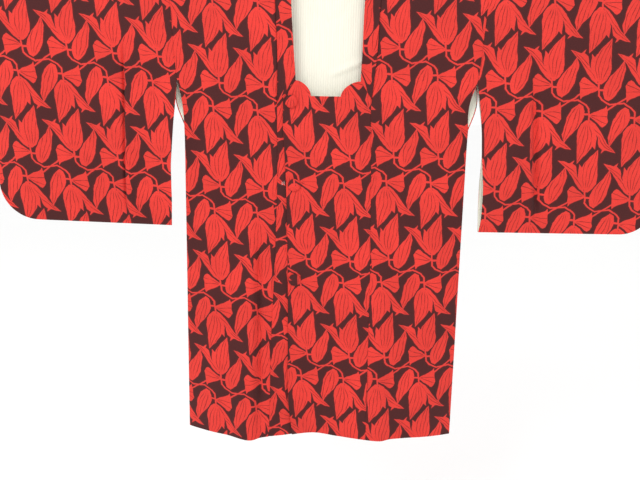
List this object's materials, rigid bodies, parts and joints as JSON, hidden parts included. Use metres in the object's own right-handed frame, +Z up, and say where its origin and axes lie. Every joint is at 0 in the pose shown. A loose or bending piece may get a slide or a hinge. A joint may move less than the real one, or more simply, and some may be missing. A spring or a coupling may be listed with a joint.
{
  "type": "michiyuki coat on a kimono hanger",
  "caption": "Hip-length kimono overcoat with a squared neck and wide drop sleeves, buttoned left over right and hung on a straight rod hanger with a hook.",
  "frame": {"origin": "the seat of the hanger's hook, the highest inner point of its bend", "axes": "+Z up; the coat faces -Y; +X towards the wearer's left, along the rod and the sleeves"},
  "size_m": [1.342, 0.1028, 1.0226],
  "materials": {
    "coat_cloth": "red leaves with dark veins on a brown-black ground, soft dull silk",
    "lining_cloth": "cream silk with fine ribs down its length",
    "hanger_wood": "satin varnished",
    "hook_steel": "bright drawn wire"
  },
  "bodies": {
    "root": {"front_right": "coat_cloth", "front_left": "coat_cloth", "tate_eri_right": "coat_cloth", "tate_eri_left": "coat_cloth", "ko_eri": "coat_cloth", "back_right": "coat_cloth", "back_left": "coat_cloth", "sleeve_right_front": "coat_cloth", "sleeve_right_back": "coat_cloth", "sleeve_left_front": "coat_cloth", "sleeve_left_back": "coat_cloth", "button_upper": "coat_cloth", "button_middle": "coat_cloth", "button_lower": "coat_cloth", "lining_back": "lining_cloth", "lining_sleeve_right": "lining_cloth", "lining_sleeve_left": "lining_cloth", "hanger_rod": "hanger_wood", "hanger_hook": "hook_steel"}
  },
  "joints": []
}
